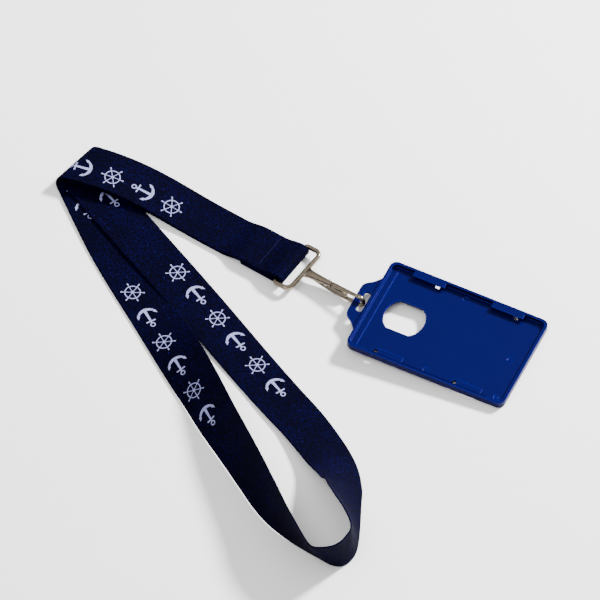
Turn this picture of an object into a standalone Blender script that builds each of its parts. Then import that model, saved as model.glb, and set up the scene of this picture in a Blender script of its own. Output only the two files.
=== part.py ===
"""Lanyard: a folded ribbon loop sewn to a snap hook that carries an open card holder.

Lengths below are millimetres and are turned into metres by MM. The lanyard lies on a table, +Z up.
"""
import math

import bmesh
import bpy
import numpy as np
from mathutils import Matrix, Vector

MM = 0.001
MIDDLE = Vector((0.41, -40.83, -0.04))        # middle of the laid-out lanyard's box, on the table

# ribbon
RIBBON_WIDTH = 25.0
RIBBON_THICKNESS = 0.8
PLY_STEP = 1.1                 # from one ply's middle to the next in a stack
TABLE_GAP = 0.05
ACROSS = 4                     # faces across the ribbon
TAIL = 23.0                    # folded end behind the eye's bar
STITCH_AT = 13.0               # stitch row, from the eye's bar
SEWN_LIFT = 0.55               # room under the sewn stack for the lower thread
STRAP_AZIMUTH = 145.7          # the doubled strap runs this way from the hook
STRAP_SWING_START = 62.0
STRAP_TURN = 15.0               # and swings round by this much before the fold
BAR_CLEAR = 0.4

# fold at the far end of the doubled strap
FOLD_DISTANCE = 127.0          # from the eye's bar to the start of the bend, on the middle line
FOLD_AZIMUTH_A = 48.6          # axis of the outer ply's bend
FOLD_AZIMUTH_B = 52.4          # axis of the inner ply's bend
FOLD_RADIUS_A = 3.4
FOLD_RADIUS_B = 1.6

# hook
BAR_POINT = Vector((-5.0, 20.6, 3.8))     # middle of the eye's bar
HOOK_AZIMUTH = -35.3
HOOK_PITCH = 4.0
BAR_RADIUS = 1.2
EYE_INNER_HALF = 13.3
EYE_DEPTH = 9.4
EYE_FRONT_CORNER = 3.6
EYE_BACK_CORNER = 1.4
NECK_END = 26.5
NECK_RADIUS_BACK = 2.3
NECK_RADIUS_FRONT = 1.5
BILL_X = 46.25
ARM_RADIUS = 1.15
GATE_PIVOT = (23.6, 0.2)
HANG_POINT = (42.9, -1.6)      # the flange turns in the hook about this point
PIN_RADIUS = 0.5
SLOT_HALF = 0.57
LUG_HALF = 0.45

# card holder
HOLDER_LENGTH = 89.5
HOLDER_WIDTH = 60.0
HOLDER_HEIGHT = 4.0
HOLDER_FLOOR = 1.5
HOLDER_RIM = 1.6
HOLDER_CORNER = 4.0
HOLDER_AZIMUTH = -24.8
HOLDER_TILT = 2.6
HOLDER_FAR_END = Vector((116.7, -44.4, 0.1))
FLANGE_REACH = 8.3
FLANGE_THICK = 1.7
HANG_SLOT = (-3.1, 14.0, 3.4)             # place along the holder, length across, width
LIP_LENGTH = 18.0
LIP_CENTRES = (22.4, HOLDER_LENGTH - 22.4)
LIP_REACH = 3.3
LIP_THICK = 1.0
WINDOW_REACH = 3.6
WINDOW_PAST = 0.3              # how far each window runs past its lip


def clear_scene():
    for item in list(bpy.data.objects):
        bpy.data.objects.remove(item)


def plain_material(name, colour, roughness, metallic):
    material = bpy.data.materials.new(name)
    material.use_nodes = True
    shader = material.node_tree.nodes["Principled BSDF"]
    shader.inputs["Base Color"].default_value = (*colour, 1.0)
    shader.inputs["Roughness"].default_value = roughness
    shader.inputs["Metallic"].default_value = metallic
    return material


def add_object(name, mesh, material=None, helper=False):
    item = bpy.data.objects.new(name, mesh)
    bpy.context.scene.collection.objects.link(item)
    if material:
        mesh.materials.append(material)
    if helper:
        item.hide_render = True
        item.display_type = "WIRE"
    return item


def mesh_from(name, points, faces, smooth_angle=35.0):
    """A mesh from points in millimetres, with its faces turned outward."""
    mesh = bpy.data.meshes.new(name)
    mesh.from_pydata([tuple(MM * c for c in p) for p in points], [], faces)
    mesh.update()
    work = bmesh.new()
    work.from_mesh(mesh)
    bmesh.ops.recalc_face_normals(work, faces=work.faces)
    work.to_mesh(mesh)
    work.free()
    mesh.shade_smooth()
    mesh.set_sharp_from_angle(angle=math.radians(smooth_angle))
    return mesh


def direction(azimuth):
    angle = math.radians(azimuth)
    return Vector((math.cos(angle), math.sin(angle), 0.0))


def smooth_step(value, start, end):
    """0 before start, 1 after end, with an even S between."""
    t = min(max((value - start) / (end - start), 0.0), 1.0)
    return t * t * (3.0 - 2.0 * t)


def spline(points, count):
    """Points evenly spaced along a smooth curve through the given rows."""
    rows = np.array(points, dtype=float)
    padded = np.vstack([2 * rows[0] - rows[1], rows, 2 * rows[-1] - rows[-2]])
    fine = []
    steps = 40
    for i in range(1, len(padded) - 2):
        a, b, c, d = padded[i - 1:i + 3]
        for k in range(steps):
            t = k / steps
            fine.append(0.5 * (2 * b + (c - a) * t + (2 * a - 5 * b + 4 * c - d) * t ** 2
                               + (3 * b - 3 * c + d - a) * t ** 3))
    fine.append(rows[-1])
    fine = np.array(fine)
    lengths = np.concatenate([[0], np.cumsum(np.linalg.norm(np.diff(fine[:, :3], axis=0), axis=1))])
    places = np.linspace(0, lengths[-1], count)
    return np.stack([np.interp(places, lengths, fine[:, j]) for j in range(rows.shape[1])], axis=1)


# ---------------------------------------------------------------- ribbon

def strap_line():
    """Middle line of the doubled strap in plan, a millimetre at a time, as far as the bend."""
    here = Vector((BAR_POINT.x, BAR_POINT.y, 0.0))
    line = [here.copy()]
    for along in range(int(FOLD_DISTANCE)):
        azimuth = STRAP_AZIMUTH + STRAP_TURN * smooth_step(along + 0.5, STRAP_SWING_START, FOLD_DISTANCE)
        here += direction(azimuth)
        line.append(here.copy())
    return line


class Ply:
    """One of the two plies: sewn end, doubled strap and fold, by flat place (along, across)."""

    def __init__(self, order, fold_azimuth, fold_radius, rest):
        self.order = order                       # 0 is the inner ply, 1 the outer
        self.radius = fold_radius
        self.axis = direction(fold_azimuth)
        self.away = direction(fold_azimuth + 90.0)
        self.line = strap_line()
        self.start = self.line[-1]
        self.rest = rest                         # height of the ply's middle after the fold
        self.wrap = BAR_RADIUS + BAR_CLEAR + RIBBON_THICKNESS / 2 + order * PLY_STEP

    def strap_height(self, along):
        """Height of the ply over the table between the eye's bar and the fold."""
        bar = BAR_POINT.z + self.wrap
        sewn = TABLE_GAP + SEWN_LIFT + RIBBON_THICKNESS / 2 + (2 + self.order) * PLY_STEP
        table = sewn - 2 * PLY_STEP - SEWN_LIFT
        top = self.rest + 2 * self.radius
        height = bar + (sewn - bar) * smooth_step(along, 0.0, 12.0)
        height += (table - sewn) * smooth_step(along, 22.0, 36.0)
        return height + (top - table) * smooth_step(along, 52.0, FOLD_DISTANCE - 4.0)

    def place(self, along, across):
        """World place of a point of the ply; along is negative round the bar and in the tail."""
        forward = direction(STRAP_AZIMUTH)
        side = direction(STRAP_AZIMUTH - 90.0) * across
        turn = math.pi * self.wrap
        low = BAR_POINT.z - self.wrap
        bar = Vector((BAR_POINT.x, BAR_POINT.y, 0.0))
        if along < -turn:
            tail = TABLE_GAP + SEWN_LIFT + RIBBON_THICKNESS / 2 + (1 - self.order) * PLY_STEP
            height = low + (tail - low) * smooth_step(-along - turn, 0.0, 9.0)
            return bar + forward * (-along - turn) + side + Vector((0, 0, height))
        if along < 0.0:
            angle = -along / self.wrap
            reach = -self.wrap * math.sin(angle)
            return bar + forward * reach + side + Vector((0, 0, BAR_POINT.z + self.wrap * math.cos(angle)))
        azimuth = STRAP_AZIMUTH + STRAP_TURN * smooth_step(along, STRAP_SWING_START, FOLD_DISTANCE)
        whole = min(int(along), len(self.line) - 1)
        flat = self.line[whole] + direction(azimuth) * (along - whole) + direction(azimuth - 90.0) * across
        past = (flat - self.start).dot(self.away)
        run = (flat - self.start).dot(self.axis)
        bend = math.pi * self.radius
        if past <= 0.0:
            return flat + Vector((0, 0, self.strap_height(along)))
        if past < bend:
            angle = past / self.radius
            return (self.start + self.away * (self.radius * math.sin(angle)) + self.axis * run
                    + Vector((0, 0, self.rest + self.radius * (1 + math.cos(angle)))))
        return self.start - self.away * (past - bend) + self.axis * run + Vector((0, 0, self.rest))

    def rows(self, stations):
        half = RIBBON_WIDTH / 2
        offsets = [half - RIBBON_WIDTH * j / ACROSS for j in range(ACROSS + 1)]
        return [[self.place(along, across) for across in offsets] for along in stations]


def ply_stations(ply):
    """Places along a ply: close together where it bends."""
    turn = math.pi * ply.wrap
    bend = math.pi * ply.radius
    parts = [np.linspace(-turn - TAIL, -turn - 9.5, 3), np.linspace(-turn - 8.0, -turn - 1.0, 4),
             np.linspace(-turn, 0.0, 10), np.linspace(1.5, 12.0, 6), np.linspace(15.0, 48.0, 10),
             np.linspace(53.0, FOLD_DISTANCE - 6.0, 14),
             np.linspace(FOLD_DISTANCE - 3.5, FOLD_DISTANCE + bend + 4.0, 20)]
    return np.concatenate(parts)


# outer edge of the open loop, from the outer ply's fold round to the inner ply's fold:
# place on the table, height, and how far the ribbon is turned up on this edge, in degrees
LOOP_EDGE = [
    (-107.6, 26.0, 0.45, 0.0),
    (-85.3, -19.2, 0.45, 4.0),
    (-71.7, -46.8, 0.45, 22.0),
    (-60.2, -68.9, 0.45, 36.0),
    (-51.2, -86.6, 0.42, 44.0),
    (-41.2, -104.0, 0.40, 53.0),
    (-31.1, -122.2, 0.35, 60.0),
    (-23.3, -135.9, 0.30, 66.0),
    (-15.0, -147.0, 0.25, 75.0),
    (-3.1, -157.8, 0.20, 93.0),
    (10.4, -167.3, 0.20, 113.0),
    (16.6, -171.4, 0.20, 105.0),
    (22.3, -171.5, 0.20, 92.0),
    (27.6, -165.9, 0.20, 86.0),
    (30.1, -155.5, 0.20, 75.0),
    (31.5, -133.3, 0.25, 46.0),
    (31.9, -122.8, 0.30, 31.0),
    (29.6, -109.1, 0.35, 18.0),
    (23.7, -94.9, 0.40, 9.0),
    (12.2, -75.1, 0.45, 3.0),
    (-0.8, -57.1, 0.45, 1.0),
    (-16.3, -35.0, 0.50, 0.0),
    (-49.6, 12.9, 1.55, 0.0),
]


def loop_rows(first, last, count):
    """Rows of the open loop, between the two plies' last rows (each given from the outer edge)."""
    start = [(*(first[0]), 0.0)]
    end = [(*(last[0]), 0.0)]
    stations = spline(start + LOOP_EDGE + end, count)
    tangents = np.gradient(stations[:, :3], axis=0)
    rows = []
    for station, tangent in zip(stations, tangents):
        edge = Vector(station[:3])
        ahead = Vector((tangent[0], tangent[1], 0.0)).normalized()
        inward = Vector((-ahead.y, ahead.x, 0.0))
        lift = math.radians(max(station[3], 0.0))
        wide = inward * math.cos(lift) + Vector((0, 0, 1)) * math.sin(lift)
        rows.append([edge + wide * (RIBBON_WIDTH * j / ACROSS) for j in range(ACROSS + 1)])
    return rows[1:-1]


def strip_solid(name, rows, thickness):
    """A closed thin solid on both sides of a grid of points."""
    grid = np.array([[tuple(p) for p in row] for row in rows])
    down = np.gradient(grid, axis=0)
    over = np.gradient(grid, axis=1)
    normal = np.cross(down, over)
    normal /= np.linalg.norm(normal, axis=2, keepdims=True)
    count, wide = grid.shape[:2]
    points = np.concatenate([(grid + normal * thickness / 2).reshape(-1, 3),
                             (grid - normal * thickness / 2).reshape(-1, 3)])
    under = count * wide

    def at(i, j, side=0):
        return i * wide + j + side * under

    faces = []
    for i in range(count - 1):
        for j in range(wide - 1):
            faces.append((at(i, j), at(i + 1, j), at(i + 1, j + 1), at(i, j + 1)))
            faces.append((at(i, j, 1), at(i, j + 1, 1), at(i + 1, j + 1, 1), at(i + 1, j, 1)))
        faces.append((at(i, 0), at(i, 0, 1), at(i + 1, 0, 1), at(i + 1, 0)))
        last = wide - 1
        faces.append((at(i, last), at(i + 1, last), at(i + 1, last, 1), at(i, last, 1)))
    for i in (0, count - 1):
        for j in range(wide - 1):
            faces.append((at(i, j), at(i, j + 1), at(i, j + 1, 1), at(i, j, 1)))
    return mesh_from(name, points, faces, 50.0)


def make_plies():
    ground = TABLE_GAP + RIBBON_THICKNESS / 2
    outer = Ply(1, FOLD_AZIMUTH_A, FOLD_RADIUS_A, ground)
    inner = Ply(0, FOLD_AZIMUTH_B, FOLD_RADIUS_B, ground + PLY_STEP)
    return outer, inner


def make_ribbon(material):
    outer, inner = make_plies()
    outer_rows = [row[::-1] for row in outer.rows(ply_stations(outer))]
    inner_rows = [row for row in inner.rows(ply_stations(inner))]
    loop = loop_rows(outer_rows[-1], inner_rows[-1], 96)
    rows = outer_rows + loop + inner_rows[::-1]
    return add_object("ribbon", strip_solid("ribbon", rows, RIBBON_THICKNESS), material)


# ---------------------------------------------------------------- tubes and joining

def ring_frames(points, closed):
    """Tangent, side and up at each point of a path, turned as little as possible."""
    path = [Vector(p) for p in points]
    count = len(path)
    frames = []
    up = None
    for i, here in enumerate(path):
        after = path[(i + 1) % count] if closed or i < count - 1 else here
        before = path[i - 1] if closed or i > 0 else here
        ahead = (after - before).normalized()
        if up is None:
            guess = Vector((0, 0, 1)) if abs(ahead.z) < 0.9 else Vector((1, 0, 0))
            up = (guess - ahead * guess.dot(ahead)).normalized()
        else:
            up = (up - ahead * up.dot(ahead)).normalized()
        frames.append((here, ahead.cross(up), up))
    return frames


def tube(name, points, widths, heights=None, sides=12, closed=False, power=2.0):
    """A tube of round or squarish section; widths and heights are full sizes along the path."""
    count = len(points)
    widths = [widths] * count if isinstance(widths, (int, float)) else widths
    heights = widths if heights is None else heights
    heights = [heights] * count if isinstance(heights, (int, float)) else heights
    places = []
    for (here, side, up), width, height in zip(ring_frames(points, closed), widths, heights):
        for k in range(sides):
            angle = 2 * math.pi * (k + 0.5) / sides
            c, s = math.cos(angle), math.sin(angle)
            a = math.copysign(abs(c) ** (2 / power), c) * width / 2
            b = math.copysign(abs(s) ** (2 / power), s) * height / 2
            places.append(here + side * a + up * b)
    faces = []
    for i in range(count if closed else count - 1):
        for k in range(sides):
            n = (i + 1) % count
            m = (k + 1) % sides
            faces.append((i * sides + k, i * sides + m, n * sides + m, n * sides + k))
    if not closed:
        faces.append(tuple(range(sides)))
        faces.append(tuple(range((count - 1) * sides, count * sides)))
    return mesh_from(name, places, faces)


def outline_solid(name, outline, low, high):
    """An upright solid from an outline of (x, y) points."""
    count = len(outline)
    points = [(x, y, low) for x, y in outline] + [(x, y, high) for x, y in outline]
    faces = [tuple(range(count)), tuple(range(count, 2 * count))]
    for i in range(count):
        n = (i + 1) % count
        faces.append((i, n, n + count, i + count))
    return mesh_from(name, points, faces, 25.0)


def box_outline(x0, x1, y0, y1, radius=0.0, steps=5):
    """A rectangle's outline, with round corners where a radius is given."""
    if radius <= 0.0:
        return [(x0, y0), (x1, y0), (x1, y1), (x0, y1)]
    points = []
    corners = ((x1 - radius, y1 - radius, 0), (x0 + radius, y1 - radius, 90),
               (x0 + radius, y0 + radius, 180), (x1 - radius, y0 + radius, 270))
    for cx, cy, begin in corners:
        for k in range(steps + 1):
            angle = math.radians(begin + 90.0 * k / steps)
            points.append((cx + radius * math.cos(angle), cy + radius * math.sin(angle)))
    return points


def combine(item, mesh, operation):
    """Add or cut a helper mesh with a Boolean that stays on the object."""
    helper = add_object(item.name + "_" + mesh.name, mesh, helper=True)
    helper.matrix_world = item.matrix_world
    change = item.modifiers.new(mesh.name, "BOOLEAN")
    change.operation = operation
    change.solver = "EXACT"
    change.object = helper
    return helper


# ---------------------------------------------------------------- hook

def hook_matrix():
    place = Matrix.Translation(BAR_POINT * MM)
    turn = Matrix.Rotation(math.radians(HOOK_AZIMUTH), 4, "Z")
    return place @ turn @ Matrix.Rotation(math.radians(-HOOK_PITCH), 4, "Y")


def eye_path():
    """Middle line of the eye's frame, a rectangle with wide round corners at the front."""
    half = EYE_INNER_HALF + BAR_RADIUS
    path = []
    corners = ((EYE_DEPTH, half, EYE_FRONT_CORNER, 0), (0.0, half, EYE_BACK_CORNER, 90),
               (0.0, -half, EYE_BACK_CORNER, 180), (EYE_DEPTH, -half, EYE_FRONT_CORNER, 270))
    for x, y, radius, begin in corners:
        centre_x = x - math.copysign(radius, x - EYE_DEPTH / 2)
        centre_y = y - math.copysign(radius, y)
        for k in range(6):
            angle = math.radians(begin + 18.0 * k)
            path.append((centre_x + radius * math.cos(angle), centre_y + radius * math.sin(angle), 0.0))
    return path


ARM_ROUTE = [(12.0, 0, -0.6), (17.0, 0, -1.9), (22.0, 0, -3.3), (27.5, 0, -4.2), (33.0, 0, -4.5),
             (38.5, 0, -4.5), (42.2, 0, -4.4), (44.4, 0, -4.1), (45.8, 0, -3.1), (BILL_X, 0, -1.7),
             (BILL_X, 0, -0.3), (45.9, 0, 0.8), (45.0, 0, 1.6), (43.9, 0, 1.8), (43.2, 0, 1.75)]


# web between the neck and the arm, seen from the side: along the hook and up
WEB_OUTLINE = [(13.5, -1.0), (18.0, -2.2), (23.0, -3.4), (28.0, -4.1), (33.0, -4.4), (35.6, -4.2), (35.8, -2.2),
               (34.6, -1.05), (31.0, -0.6), (27.0, -0.4), (22.0, 0.1), (16.0, 0.3)]
WEB_HALF = 0.8


def make_hook(material):
    item = add_object("hook_body", tube("eye", eye_path(), 2.4, 2.6, 12, True, 2.6), material)
    item.matrix_world = hook_matrix()
    neck = [(EYE_DEPTH - 0.6, 0, 0), (EYE_DEPTH + 1.2, 0, 0), (12.5, 0, 0.05), (NECK_END, 0, 0.35)]
    widths = [7.6, 6.0, 2 * NECK_RADIUS_BACK, 2 * NECK_RADIUS_FRONT]
    heights = [2.2, 2.6, 3.6, 2.9]
    combine(item, tube("neck", neck, widths, heights, 14), "UNION")
    route = spline(ARM_ROUTE, 26)
    sizes = [2 * ARM_RADIUS + 0.5 * (1 - smooth_step(i, 0, 12)) for i in range(len(route))]
    combine(item, tube("arm", [tuple(p) for p in route], sizes, None, 12), "UNION")
    web = outline_solid("web", WEB_OUTLINE, -WEB_HALF, WEB_HALF)
    stand_up(web)
    combine(item, web, "UNION")
    mouth = outline_solid("fork", box_outline(20.6, NECK_END + 1, -SLOT_HALF, SLOT_HALF), -1.35, 4.0)
    combine(item, mouth, "DIFFERENCE")
    bore = tube("bore", [(14.8, 0, 0.15), (21.2, 0, 0.15)], 1.9, None, 12)
    combine(item, bore, "DIFFERENCE")
    pivot = [(GATE_PIVOT[0], -3.0, GATE_PIVOT[1]), (GATE_PIVOT[0], 3.0, GATE_PIVOT[1])]
    combine(item, tube("pin_hole", pivot, 2 * PIN_RADIUS + 0.6, None, 12), "DIFFERENCE")
    return item


def make_gate(material):
    """Tongue: a thin lug in the fork and a round-topped bar up to the bill's tip."""
    bar = [(NECK_END + 0.35, 0, 0.95), (NECK_END + 0.8, 0, 0.97), (34.0, 0, 1.25), (41.8, 0, 1.62),
           (42.8, 0, 1.66)]
    item = add_object("gate", tube("gate_bar", bar, [2.3, 2.5, 2.35, 2.2, 1.7], [1.5, 1.7, 1.65, 1.6, 1.2],
                                   12, False, 2.4), material)
    item.matrix_world = hook_matrix()
    lug = outline_solid("lug", [(21.9, -0.75), (23.4, -0.95), (25.2, -0.75), (28.6, 0.75), (28.6, 1.25),
                                (24.5, 1.3), (22.6, 1.15), (21.9, 0.6)], -LUG_HALF, LUG_HALF)
    stand_up(lug)
    combine(item, lug, "UNION")
    pivot = [(GATE_PIVOT[0], -3.0, GATE_PIVOT[1]), (GATE_PIVOT[0], 3.0, GATE_PIVOT[1])]
    combine(item, tube("gate_hole", pivot, 2 * PIN_RADIUS + 0.6, None, 12), "DIFFERENCE")
    return item


def stand_up(mesh):
    """Turn an outline solid so that its outline's y runs up and its height runs across."""
    mesh.transform(Matrix.Rotation(math.radians(90.0), 4, "X"))


def make_pin(material):
    """Rivet with a low round head at each end, just clear of the neck's cheeks."""
    reach = 1.95
    route = [(GATE_PIVOT[0], y, GATE_PIVOT[1]) for y in (-reach - 0.35, -reach, -reach + 0.01,
                                                        reach - 0.01, reach, reach + 0.35)]
    sizes = [0.9, 1.5, 2 * PIN_RADIUS, 2 * PIN_RADIUS, 1.5, 0.9]
    item = add_object("gate_pin", tube("gate_pin", route, sizes, None, 14), material)
    item.matrix_world = hook_matrix()
    return item


def make_spring(material):
    """Small compression spring in the neck's bore, behind the gate's lug."""
    turns = 5.0
    steps = 60
    first, last = 15.3, 21.4
    radius = 0.52
    route = []
    for i in range(steps + 1):
        t = i / steps
        angle = 2 * math.pi * turns * t
        route.append((first + (last - first) * t, radius * math.cos(angle), 0.15 + radius * math.sin(angle)))
    item = add_object("gate_spring", tube("gate_spring", route, 0.26, None, 6), material)
    item.matrix_world = hook_matrix()
    return item


# ---------------------------------------------------------------- stitches

def make_thread(name, above, material):
    """A row of long stitches across the sewn plies, just clear of the ribbon."""
    outer = make_plies()[0]
    pitch = 2.6
    reach = RIBBON_WIDTH / 2 - 2.2
    radius = 0.2
    count = int(2 * reach / pitch)
    route = []
    for i in range(count * 8 + 1):
        across = -reach + 2 * reach * i / (count * 8)
        base = outer.place(STITCH_AT, across)
        hump = 0.12 * (1 - math.cos(2 * math.pi * i / 8)) / 2
        if above:
            height = base.z + RIBBON_THICKNESS / 2 + 0.1 + radius + hump
        else:
            height = TABLE_GAP + radius + hump / 2
        route.append((base.x, base.y, height))
    return add_object(name, tube(name, route, 2 * radius, 2 * radius, 8), material)


# ---------------------------------------------------------------- card holder

def holder_matrix():
    turn = Matrix.Rotation(math.radians(HOLDER_AZIMUTH), 4, "Z")
    tilt = Matrix.Rotation(math.radians(HOLDER_TILT), 4, "Y")
    far = Matrix.Translation(HOLDER_FAR_END * MM)
    return far @ turn @ tilt @ Matrix.Translation(Vector((-HOLDER_LENGTH, 0, 0)) * MM)


def flange_outline():
    """Half outline of the flange in (along, across), from the body's side to its outer edge."""
    shoulder = [(0.6, 20.5), (-0.4, 18.6), (-1.6, 16.6), (-3.4, 14.4), (-5.4, 12.9)]
    corner = [(-7.0, 11.6), (-8.0, 9.9), (-FLANGE_REACH, 7.8)]
    return shoulder + corner


def thumb_hole_outline():
    """Barrel: flat sides along the holder, round ends; wide enough for a thumb to push the card."""
    points = []
    centre_x, half_y, half_x, crown = 20.4, 9.5, 6.4, 3.6
    steps = 8
    for sign in (1, -1):
        for k in range(steps + 1):
            t = -1 + 2 * k / steps
            bulge = crown * (1 - t * t) + (0.9 if abs(t) < 1 else 0.0)
            points.append((centre_x + sign * (half_x + bulge), sign * half_y * t))
    return points


def make_holder(material):
    half = HOLDER_WIDTH / 2
    body = box_outline(0.0, HOLDER_LENGTH, -half, half, HOLDER_CORNER, 6)
    item = add_object("card_holder", outline_solid("body", body, 0.0, HOLDER_HEIGHT), material)
    item.matrix_world = holder_matrix()
    recess = box_outline(HOLDER_RIM, HOLDER_LENGTH - HOLDER_RIM, -half + HOLDER_RIM, half - HOLDER_RIM, 3.0, 4)
    combine(item, outline_solid("recess", recess, HOLDER_FLOOR, HOLDER_HEIGHT + 1), "DIFFERENCE")
    side = flange_outline()
    flange = side + [(x, -y) for x, y in reversed(side)]
    combine(item, outline_solid("flange", flange, 0.0, FLANGE_THICK), "UNION")
    for centre in LIP_CENTRES:
        for sign in (1, -1):
            x0, x1 = centre - LIP_LENGTH / 2, centre + LIP_LENGTH / 2
            tag = "%d_%s" % (round(centre), "far" if sign > 0 else "near")
            edge = half - HOLDER_RIM
            near, far = sorted((sign * (edge - LIP_REACH), sign * (edge + 0.5)))
            lip = box_outline(x0, x1, near, far)
            combine(item, outline_solid("lip_" + tag, lip, HOLDER_HEIGHT - LIP_THICK, HOLDER_HEIGHT - 0.01),
                    "UNION")
            near, far = sorted((sign * (edge - WINDOW_REACH), sign * edge))
            window = box_outline(x0 - WINDOW_PAST, x1 + WINDOW_PAST, near, far)
            combine(item, outline_solid("window_" + tag, window, -1.0, HOLDER_FLOOR + 0.2), "DIFFERENCE")
    place, across, width = HANG_SLOT
    slot = box_outline(place - width / 2, place + width / 2, -across / 2, across / 2, width / 2 - 0.05, 5)
    combine(item, outline_solid("hang_slot", slot, -1.0, HOLDER_HEIGHT + 1), "DIFFERENCE")
    combine(item, outline_solid("thumb_hole", thumb_hole_outline(), -1.0, HOLDER_HEIGHT + 1), "DIFFERENCE")
    return item


def hang_on_axis(name, place):
    """Parent a moving piece to an empty on its joint's axis, without moving it."""
    item = bpy.data.objects[name]
    empty = bpy.data.objects.new(name + "_axis", None)
    bpy.context.scene.collection.objects.link(empty)
    empty.location = place
    item.parent = empty
    item.matrix_parent_inverse = Matrix.Translation(-place)


def build():
    clear_scene()
    navy = plain_material("navy_ribbon", (0.004, 0.004, 0.05), 0.7, 0.0)
    thread = plain_material("navy_thread", (0.01, 0.01, 0.06), 0.6, 0.0)
    nickel = plain_material("nickel_plate", (0.75, 0.7, 0.62), 0.18, 1.0)
    steel = plain_material("steel", (0.6, 0.6, 0.6), 0.3, 1.0)
    blue = plain_material("blue_plastic", (0.0, 0.002, 0.19), 0.25, 0.0)
    make_ribbon(navy)
    make_thread("needle_thread", True, thread)
    make_thread("bobbin_thread", False, thread)
    make_hook(nickel)
    make_gate(nickel)
    make_pin(steel)
    make_spring(steel)
    make_holder(blue)
    for item in bpy.data.objects:
        item.matrix_world = Matrix.Translation(-MIDDLE * MM) @ item.matrix_world
    to_world = Matrix.Translation(-MIDDLE * MM) @ hook_matrix()
    hang_on_axis("gate", to_world @ (Vector((GATE_PIVOT[0], 0, GATE_PIVOT[1])) * MM))
    hang_on_axis("card_holder", to_world @ (Vector((HANG_POINT[0], 0, HANG_POINT[1])) * MM))


build()
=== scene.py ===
"""Lanyard on a pale floor: printed ribbon, sprung hook and card tray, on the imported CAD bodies."""
import math

import bmesh
import bpy
import numpy as np
from mathutils import Matrix, Vector


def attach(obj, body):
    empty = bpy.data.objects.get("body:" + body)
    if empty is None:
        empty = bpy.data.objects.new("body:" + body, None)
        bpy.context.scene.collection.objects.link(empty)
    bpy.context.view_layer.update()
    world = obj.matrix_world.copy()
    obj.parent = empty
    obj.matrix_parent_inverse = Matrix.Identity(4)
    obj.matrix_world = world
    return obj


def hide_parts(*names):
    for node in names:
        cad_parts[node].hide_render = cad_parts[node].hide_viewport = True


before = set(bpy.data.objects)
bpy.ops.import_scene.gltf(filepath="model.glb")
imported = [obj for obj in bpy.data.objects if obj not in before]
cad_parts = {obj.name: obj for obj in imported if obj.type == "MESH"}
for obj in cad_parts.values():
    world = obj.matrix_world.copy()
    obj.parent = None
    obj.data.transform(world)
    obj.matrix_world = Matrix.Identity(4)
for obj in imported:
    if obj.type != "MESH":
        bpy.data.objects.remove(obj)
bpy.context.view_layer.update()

MM = 0.001
MIDDLE = Vector((0.41, -40.83, -0.04))        # the CAD's origin, in the plan the ribbon is laid out in

# ribbon, as in the CAD, in millimetres
RIBBON_WIDTH = 25.0
RIBBON_THICKNESS = 0.8
PLY_STEP = 1.1
TABLE_GAP = 0.05
TAIL = 23.0
SEWN_LIFT = 0.55
STRAP_AZIMUTH = 145.7
STRAP_SWING_START = 62.0
STRAP_TURN = 15.0
BAR_CLEAR = 0.4
FOLD_DISTANCE = 127.0
FOLD_AZIMUTH_A = 48.6
FOLD_AZIMUTH_B = 52.4
FOLD_RADIUS_A = 3.4
FOLD_RADIUS_B = 1.6
BAR_POINT = Vector((-5.0, 20.6, 3.8))
BAR_RADIUS = 1.2

# hook, as in the CAD
HOOK_AZIMUTH = -35.3
HOOK_PITCH = 4.0
EYE_INNER_HALF = 13.3
EYE_DEPTH = 9.4
EYE_FRONT_CORNER = 3.6
EYE_BACK_CORNER = 1.4
NECK_END = 26.5
GATE_PIVOT = (23.6, 0.2)
PIN_RADIUS = 0.5
SLOT_HALF = 0.57
LUG_HALF = 0.45
WEB_HALF = 0.8
ARM_ROUTE = [(12.0, 0, -0.6), (17.0, 0, -1.9), (22.0, 0, -3.3), (27.5, 0, -4.2), (33.0, 0, -4.5),
             (38.5, 0, -4.5), (42.2, 0, -4.4), (44.4, 0, -4.1), (45.8, 0, -3.1), (46.25, 0, -1.7),
             (46.25, 0, -0.3), (45.9, 0, 0.8), (45.0, 0, 1.6), (43.9, 0, 1.8), (43.2, 0, 1.75)]
WEB_OUTLINE = [(13.5, -1.0), (18.0, -2.2), (23.0, -3.4), (28.0, -4.1), (33.0, -4.4), (35.6, -4.2),
               (35.8, -2.2), (34.6, -1.05), (31.0, -0.6), (27.0, -0.4), (22.0, 0.1), (16.0, 0.3)]
LUG_OUTLINE = [(21.9, -0.75), (23.4, -0.95), (25.2, -0.75), (28.6, 0.75), (28.6, 1.25), (24.5, 1.3),
               (22.6, 1.15), (21.9, 0.6)]
FORK_START = 20.6
FORK_LOW = -1.35
FORK_HIGH = 1.45
METAL_BEVEL = 0.12

# print: distances from the eye's bar along each ply
PRINT_GROUPS_A = ((73.3, 17.9), (222.2, 18.8))      # place of each group's first figure, and pitch
PRINT_GROUPS_B = ((67.5, 18.0), (217.5, 18.1))
PRINT_PER_GROUP = 6
PRINT_FROM_EDGE = 9.3
PRINT_LIFT = 0.02
LAYER_LIFT = 0.003

# card tray, as in the CAD
HOLDER_LENGTH = 89.5
HOLDER_WIDTH = 60.0
HOLDER_HEIGHT = 4.0
HOLDER_FLOOR = 1.5
HOLDER_RIM = 1.6
HOLDER_CORNER = 4.0
HOLDER_AZIMUTH = -24.8
HOLDER_TILT = 2.6
HOLDER_FAR_END = Vector((116.7, -44.4, 0.1))
FLANGE_REACH = 8.3
FLANGE_THICK = 1.7
HANG_SLOT = (-3.1, 14.0, 3.4)
LIP_LENGTH = 18.0
LIP_CENTRES = (22.4, HOLDER_LENGTH - 22.4)
LIP_REACH = 3.3
LIP_THICK = 1.0

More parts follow.
